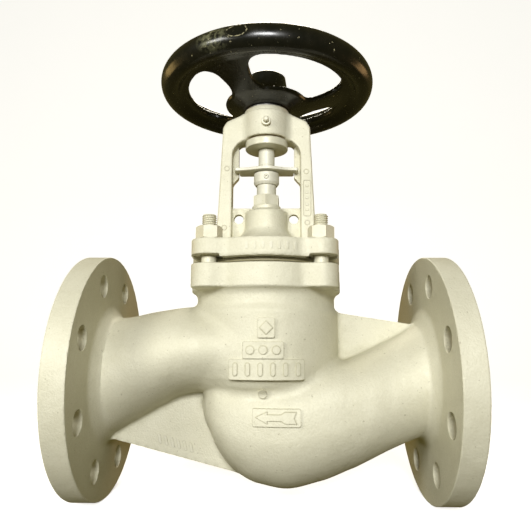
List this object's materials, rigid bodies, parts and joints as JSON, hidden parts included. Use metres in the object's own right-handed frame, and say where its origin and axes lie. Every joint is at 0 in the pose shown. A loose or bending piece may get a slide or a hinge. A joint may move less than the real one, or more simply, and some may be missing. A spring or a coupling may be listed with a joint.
{
  "type": "globe valve",
  "caption": "Flanged bellows-sealed globe valve: cast body with two pipe flanges, bolted yoke bonnet, rising stem and round spoked handwheel.",
  "frame": {"origin": "where the pipe centreline crosses the stem axis", "axes": "+X along the pipe centreline towards the inlet flange, +Z along the stem towards the handwheel, -Y the side with the grease nipple"},
  "size_m": [0.31, 0.204, 0.377],
  "materials": {
    "cast_paint": "satin cream paint over a sand casting",
    "fastener_paint": "satin cream paint over machined steel",
    "stem_paint": "satin cream paint over turned steel",
    "black_enamel": "glossy black enamel, worn at the edges",
    "stainless": "turned stainless steel",
    "bronze": "turned bronze",
    "graphite": "matt pressed graphite",
    "steel": "machined steel"
  },
  "bodies": {
    "root": {"body": "cast_paint", "bonnet": "cast_paint", "bonnet_stud_1": "fastener_paint", "bonnet_stud_2": "fastener_paint", "bonnet_stud_3": "fastener_paint", "bonnet_stud_4": "fastener_paint", "bonnet_nut_1": "fastener_paint", "bonnet_nut_2": "fastener_paint", "bonnet_nut_3": "fastener_paint", "bonnet_nut_4": "fastener_paint", "gland_nut": "fastener_paint", "seat_ring": "stainless", "bellows": "stainless", "bellows_flange": "stainless", "packing_washer": "stainless", "stem_guide_bush": "bronze", "gland_follower": "bronze", "yoke_bush": "bronze", "gasket_lower": "graphite", "gasket_upper": "graphite", "packing_ring_1": "graphite", "packing_ring_2": "graphite", "packing_ring_3": "graphite", "packing_ring_4": "graphite", "grease_nipple": "steel", "thrust_washer_lower": "steel", "thrust_washer_upper": "steel"},
    "handwheel": {"handwheel": "black_enamel", "handwheel_key": "steel", "handwheel_washer": "steel", "handwheel_nut": "steel", "stem_nut": "bronze"},
    "stem": {"stem": "stem_paint", "plug": "stainless", "plug_nut": "bronze", "bellows_collar": "stainless", "guide_collar": "stem_paint", "collar_screw": "steel", "guide_plate": "stem_paint"}
  },
  "joints": [
    {"name": "handwheel_turn", "type": "hinge", "parent": "root", "child": "handwheel", "pos_m": [0, 0, 0.262], "axis": [0, 0, 1], "range_deg": [0, 1620]},
    {"name": "stem_lift", "type": "slide", "parent": "root", "child": "stem", "axis": [0, 0, 1], "range_m": [0, 0.018], "deforming": ["bellows"]}
  ],
  "couplings": [
    {"joint": "stem_lift", "follows": "handwheel_turn", "m_per_rad": 0.0006366}
  ]
}
